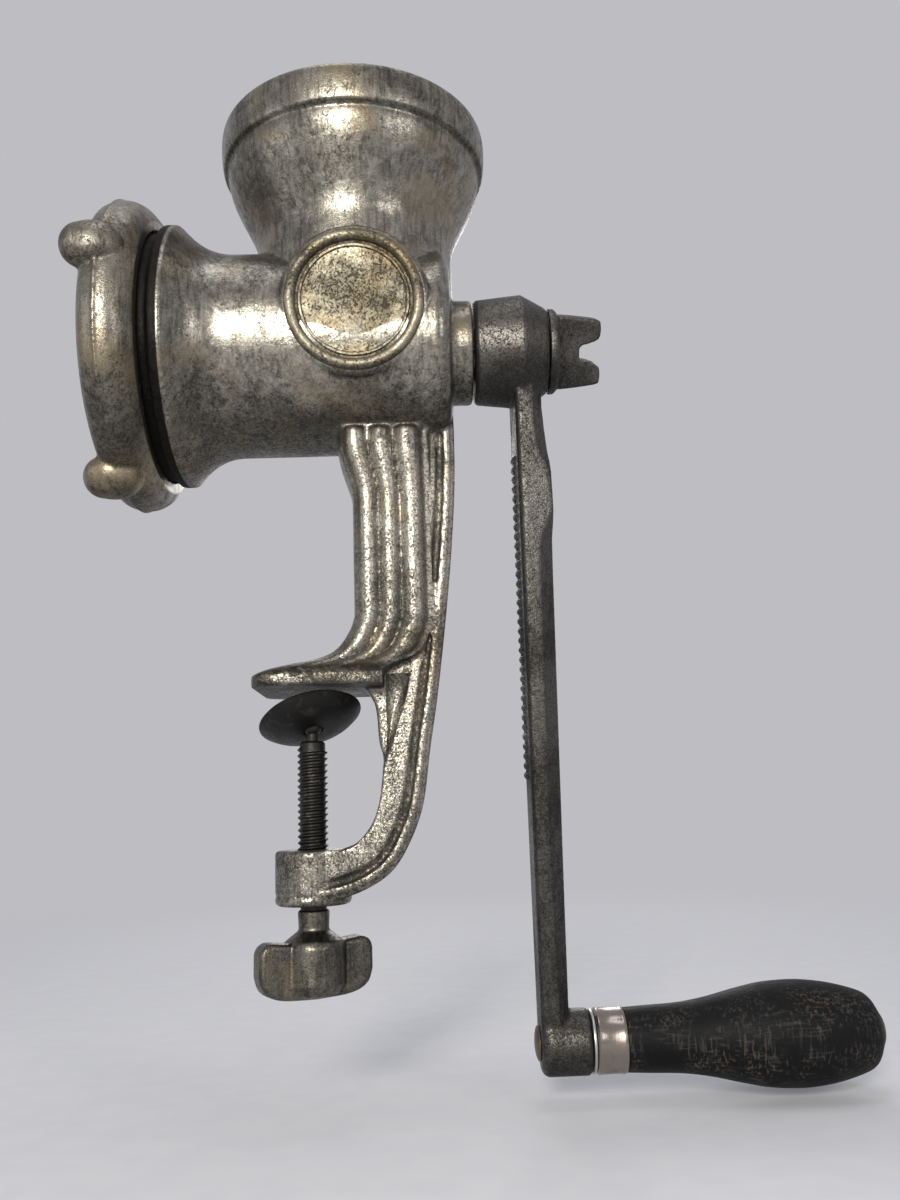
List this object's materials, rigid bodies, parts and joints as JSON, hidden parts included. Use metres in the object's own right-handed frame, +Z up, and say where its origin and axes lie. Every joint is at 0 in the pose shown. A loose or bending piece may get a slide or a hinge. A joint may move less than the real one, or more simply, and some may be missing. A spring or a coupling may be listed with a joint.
{
  "type": "hand cranked meat grinder with table clamp",
  "caption": "Clamp-on hand meat grinder: round hopper over a barrel with feed auger, knife and holed plate, lugged ring nut, crank with turned grip and wing screw clamp.",
  "frame": {"origin": "on the flat underside of the clamp's fixed jaw, where the clamp screw's axis meets it", "axes": "+Z up along the clamp screw, -X along the barrel towards its mouth, +X towards the crank, -Y towards the side with the round medallion boss"},
  "size_m": [0.2166, 0.0872, 0.271],
  "materials": {
    "tinned_cast_iron": "worn tinned cast iron, grey with an olive cast, pitted",
    "dark_cast_iron": "darkened rough cast iron",
    "bright_steel": "ground steel",
    "black_steel": "blackened turned steel",
    "washer_fibre": "vulcanised fibre",
    "ferrule_tin": "bright tinned sheet steel",
    "black_wood": "turned wood, painted black and worn"
  },
  "bodies": {
    "frame": {"body_casting": "tinned_cast_iron", "plate_key_pin": "bright_steel"},
    "auger": {"feed_auger": "tinned_cast_iron", "auger_front_stud": "bright_steel", "cutter_knife": "bright_steel", "auger_thrust_washer": "washer_fibre"},
    "crank": {"crank_arm": "dark_cast_iron", "handle_spindle": "dark_cast_iron", "handle_washer": "dark_cast_iron"},
    "thumb": {"crank_thumb_screw": "dark_cast_iron"},
    "grip": {"handle_grip": "black_wood", "handle_ferrule": "ferrule_tin"},
    "plate": {"cutter_plate": "bright_steel"},
    "ring": {"ring_nut": "tinned_cast_iron"},
    "swivel": {"pad_ball_stud": "black_steel"},
    "screw": {"clamp_screw": "black_steel", "clamp_wing_handle": "tinned_cast_iron"},
    "pad": {"clamp_pad": "black_steel"}
  },
  "joints": [
    {"name": "crank_turn", "type": "hinge", "parent": "frame", "child": "auger", "pos_m": [0, 0, 0.096], "axis": [1, 0, 0], "continuous": true},
    {"name": "crank_off", "type": "slide", "parent": "auger", "child": "crank", "axis": [1, 0, 0], "range_m": [0, 0.009]},
    {"name": "thumb_screw_turn", "type": "hinge", "parent": "crank", "child": "thumb", "pos_m": [0, 0, 0.096], "axis": [1, 0, 0], "range_deg": [0, 2025]},
    {"name": "grip_spin", "type": "hinge", "parent": "crank", "child": "grip", "pos_m": [0, 0.02389, -0.09582], "axis": [1, 0, 0], "continuous": true},
    {"name": "plate_out", "type": "slide", "parent": "frame", "child": "plate", "axis": [-1, 0, 0], "range_m": [0, 0.008]},
    {"name": "ring_turn", "type": "hinge", "parent": "plate", "child": "ring", "pos_m": [0, 0, 0.096], "axis": [-1, 0, 0], "range_deg": [0, 900]},
    {"name": "clamp_travel", "type": "slide", "parent": "frame", "child": "swivel", "axis": [0, 0, -1], "range_m": [0, 0.024]},
    {"name": "screw_turn", "type": "hinge", "parent": "swivel", "child": "screw", "pos_m": [0, 0, 0], "axis": [0, 0, -1], "range_deg": [0, 5400]},
    {"name": "pad_tilt", "type": "hinge", "parent": "swivel", "child": "pad", "pos_m": [0, 0, -0.009], "axis": [0.8453, 0.5344, 0], "range_deg": [0, 53.2]}
  ],
  "couplings": [
    {"joint": "thumb_screw_turn", "follows": "crank_off", "rad_per_m": 3926.9},
    {"joint": "ring_turn", "follows": "plate_out", "rad_per_m": 1963.4},
    {"joint": "screw_turn", "follows": "clamp_travel", "rad_per_m": 3926.9}
  ]
}
